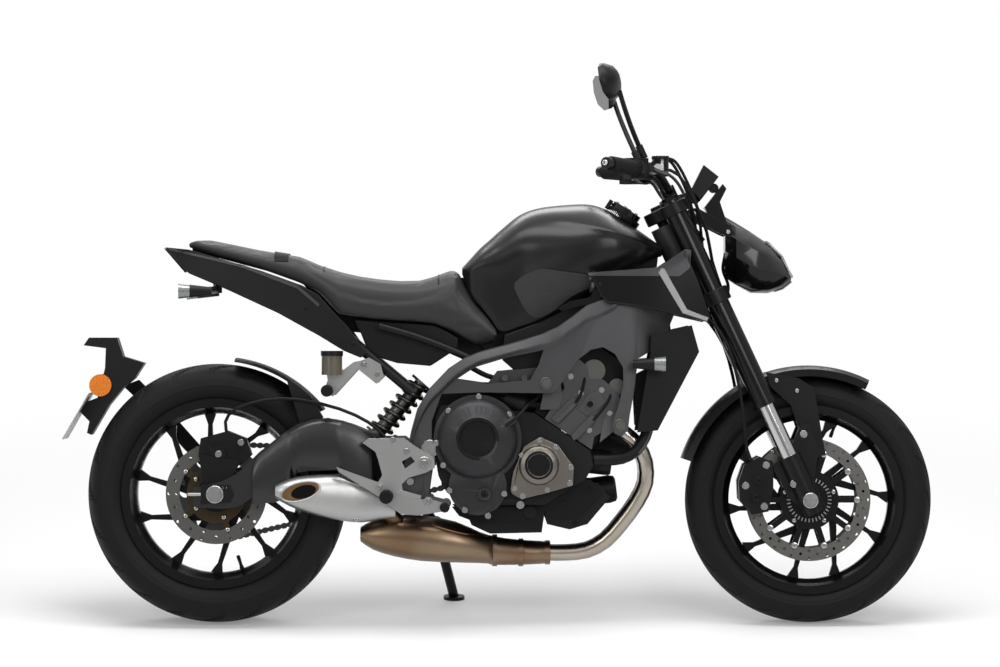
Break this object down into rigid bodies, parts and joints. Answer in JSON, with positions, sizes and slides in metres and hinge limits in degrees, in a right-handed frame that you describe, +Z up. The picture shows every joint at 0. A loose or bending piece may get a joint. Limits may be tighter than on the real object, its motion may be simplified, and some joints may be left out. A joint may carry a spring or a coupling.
{
  "type": "standard motorcycle",
  "caption": "Naked road motorcycle with twin-spar frame, in-line engine open to view, upside-down fork, cast wheels, side muffler, side stand.",
  "frame": {"origin": "middle of the box round the whole motorcycle, on the ground that it stands on", "axes": "+X forward, +Y to the rider's left, +Z up; the motorcycle leans 10 degrees to the left on its side stand"},
  "size_m": [2.1137, 0.8428, 1.3939],
  "materials": {
    "frame_alloy": "satin",
    "bronze_alloy": "satin",
    "black_alloy": "satin",
    "black_steel": "satin",
    "bare_steel": "brushed",
    "tinted_steel": "heat tinted",
    "bright_alloy": "satin",
    "chromed": "polished",
    "gloss_black": "gloss",
    "matte_black": "matte",
    "lamp_amber": "gloss",
    "vinyl": "matte",
    "tyre_rubber": "matte",
    "grip_rubber": "matte",
    "plate_blank": "satin"
  },
  "bodies": {
    "chassis": {"main_frame": "frame_alloy", "cylinder_head": "frame_alloy", "crankcase": "frame_alloy", "clutch_cover": "frame_alloy", "left_covers": "frame_alloy", "pickup_cover": "bronze_alloy", "swingarm": "black_alloy", "rear_caliper": "black_alloy", "subframe": "black_steel", "rear_shock": "bare_steel", "header_pipes": "bare_steel", "chain": "bare_steel", "rear_axle": "bare_steel", "exhaust_chamber": "tinted_steel", "muffler": "bright_alloy", "foot_rests": "bright_alloy", "fuel_tank": "gloss_black", "air_scoops": "gloss_black", "tank_covers": "matte_black", "rear_panels": "matte_black", "rear_fenders": "matte_black", "radiator": "matte_black", "marker_lamps": "lamp_amber", "seat": "vinyl", "number_plate": "plate_blank"},
    "steering": {"fork_clamps": "black_alloy", "fork_tubes": "black_alloy", "fork_sliders": "chromed", "front_axle": "bare_steel", "front_fender": "gloss_black", "front_brakes": "black_alloy", "handlebar": "black_steel", "grips": "grip_rubber", "bar_controls": "matte_black", "mirrors": "gloss_black", "meter": "matte_black", "headlight": "gloss_black"},
    "front_wheel": {"front_wheel": "black_alloy", "front_tyre": "tyre_rubber", "front_discs": "bare_steel"},
    "rear_wheel": {"rear_wheel": "black_alloy", "rear_tyre": "tyre_rubber", "rear_disc": "bare_steel", "rear_sprocket": "bare_steel"},
    "side_stand": {"side_stand": "black_steel"},
    "fuel_cap": {"fuel_cap": "gloss_black"}
  },
  "joints": [
    {"name": "steer", "type": "hinge", "parent": "chassis", "child": "steering", "pos_m": [0.72584, -0.15579, 0.28285], "axis": [-0.4226, 0.1574, 0.8925], "range_deg": [-30, 30]},
    {"name": "front_wheel_spin", "type": "hinge", "parent": "steering", "child": "front_wheel", "pos_m": [0.75575, -0.15337, 0.29658], "axis": [0, 0.9848, -0.1736], "continuous": true},
    {"name": "rear_wheel_spin", "type": "hinge", "parent": "chassis", "child": "rear_wheel", "pos_m": [-0.68425, -0.15076, 0.31135], "axis": [0, 0.9848, -0.1736], "continuous": true},
    {"name": "side_stand_fold", "type": "hinge", "parent": "chassis", "child": "side_stand", "pos_m": [-0.15425, -0.03223, 0.20617], "axis": [0, 0.9945, 0.1045], "range_deg": [0, 95]},
    {"name": "fuel_cap_lift", "type": "hinge", "parent": "chassis", "child": "fuel_cap", "pos_m": [0.27484, -0.02779, 1.00878], "axis": [0, -0.9848, 0.1736], "range_deg": [0, 85]}
  ]
}
